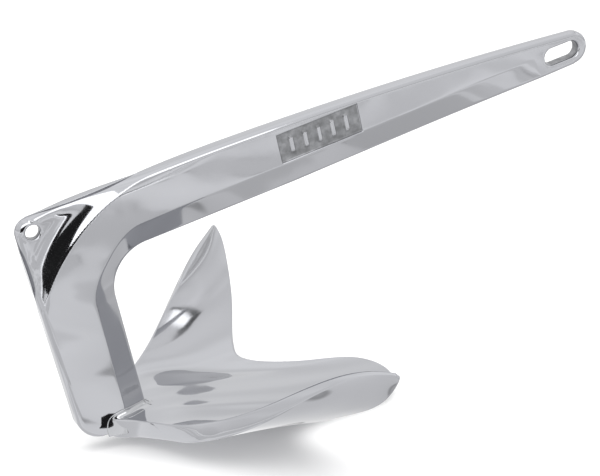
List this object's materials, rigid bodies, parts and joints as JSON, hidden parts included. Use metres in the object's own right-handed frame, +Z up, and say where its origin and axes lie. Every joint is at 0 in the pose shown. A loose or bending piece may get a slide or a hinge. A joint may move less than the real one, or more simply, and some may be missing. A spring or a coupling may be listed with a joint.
{
  "type": "boat anchor",
  "caption": "One-piece claw anchor for a small boat in mirror-polished stainless steel, with a bent flat shank and a wide three-palmed claw.",
  "frame": {"origin": "middle of the foot of the bounding box, level with the lowest points under the claw", "axes": "+X from the heel towards the shackle eye; +Z up, away from the sea bed; +Y to starboard, across the flukes. The XZ plane is the plane of symmetry."},
  "size_m": [0.4196, 0.2858, 0.2391],
  "materials": {
    "mirror_polished_stainless": "mirror polished",
    "dressed_weld_stainless": "ground and polished weld"
  },
  "bodies": {
    "root": {"shank": "mirror_polished_stainless", "claw": "mirror_polished_stainless", "port_weld": "dressed_weld_stainless", "starboard_weld": "dressed_weld_stainless", "toe_weld": "dressed_weld_stainless"}
  },
  "joints": []
}
